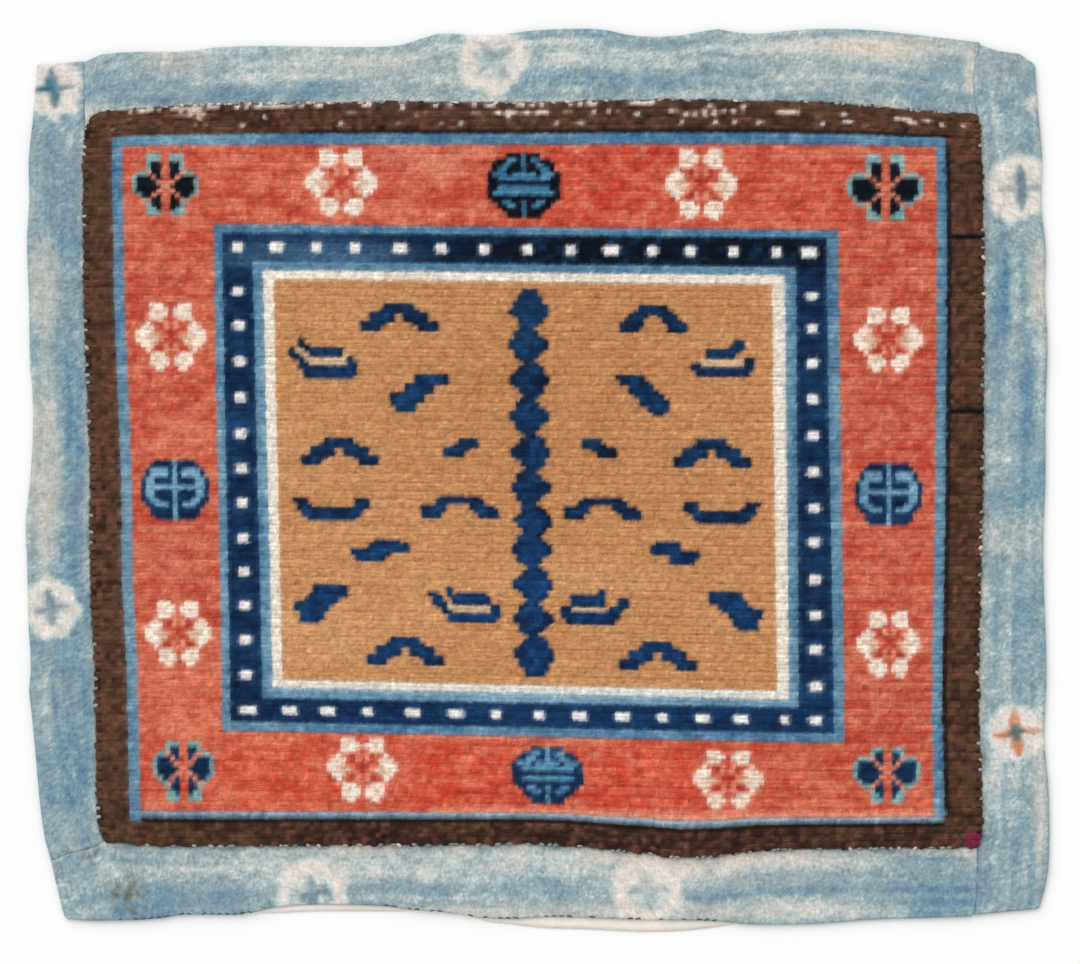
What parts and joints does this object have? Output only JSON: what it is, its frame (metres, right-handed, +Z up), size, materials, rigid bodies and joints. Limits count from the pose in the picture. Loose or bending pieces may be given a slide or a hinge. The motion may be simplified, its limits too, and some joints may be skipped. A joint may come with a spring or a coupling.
{
  "type": "tibetan tiger rug",
  "caption": "Small flat knotted-pile seat rug with a tiger-stripe field and bordered bands, sewn into a wide surround of tie-dyed woollen cloth over a thin cotton back.",
  "frame": {"origin": "middle of the mat on its underside", "axes": "+X across the mat to the picture's right, +Y up the mat to its far edge, +Z up out of the pile"},
  "size_m": [0.7628, 0.6729, 0.0093],
  "materials": {
    "wool_pile": "cut wool pile, matt, in camel, red, indigo, brown and ivory",
    "tie_dyed_cloth": "plain-woven wool, faded indigo tie-dye with cream rings, matt",
    "cotton_back": "plain-woven cotton, unbleached, matt"
  },
  "bodies": {
    "root": {"cotton_back": "cotton_back", "surround_left": "tie_dyed_cloth", "surround_top": "tie_dyed_cloth", "surround_right": "tie_dyed_cloth", "surround_bottom": "tie_dyed_cloth", "pile_rug": "wool_pile"}
  },
  "joints": []
}
